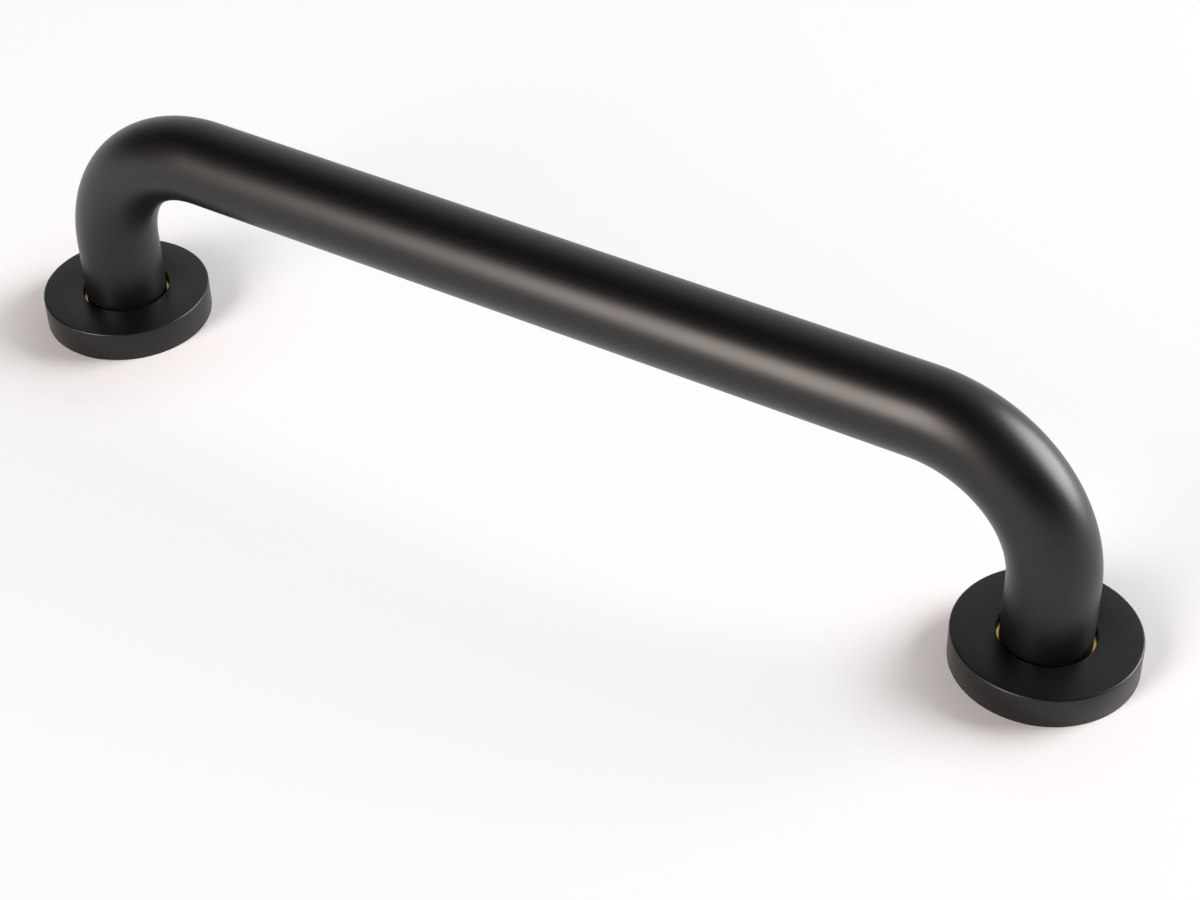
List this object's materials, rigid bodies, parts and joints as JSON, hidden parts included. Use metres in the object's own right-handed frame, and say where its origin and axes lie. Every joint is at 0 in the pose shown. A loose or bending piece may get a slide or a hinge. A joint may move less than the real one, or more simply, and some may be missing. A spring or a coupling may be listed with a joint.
{
  "type": "grab bar",
  "caption": "Straight grab bar of bent round tube, brazed to wall plates that hide under round sliding covers; a hand grip beside a bath, shower or toilet.",
  "frame": {"origin": "on the wall plane, midway between the two fixings", "axes": "+X along the bar, +Z square away from the wall, +Y across the bar"},
  "size_m": [0.466, 0.066, 0.104],
  "materials": {
    "black_coat": "satin black coat",
    "bare_brass": "turned bright, uncoated",
    "ring_rubber": "matt"
  },
  "bodies": {
    "bar": {"rail_tube": "black_coat", "left_wall_plate": "bare_brass", "right_wall_plate": "bare_brass", "left_grip_ring": "ring_rubber", "right_grip_ring": "ring_rubber"},
    "left_cover": {"left_cover": "black_coat"},
    "right_cover": {"right_cover": "black_coat"}
  },
  "joints": [
    {"name": "left_cover_slide", "type": "slide", "parent": "bar", "child": "left_cover", "axis": [0, 0, 1], "range_m": [0, 0.03]},
    {"name": "right_cover_slide", "type": "slide", "parent": "bar", "child": "right_cover", "axis": [0, 0, 1], "range_m": [0, 0.03]}
  ]
}
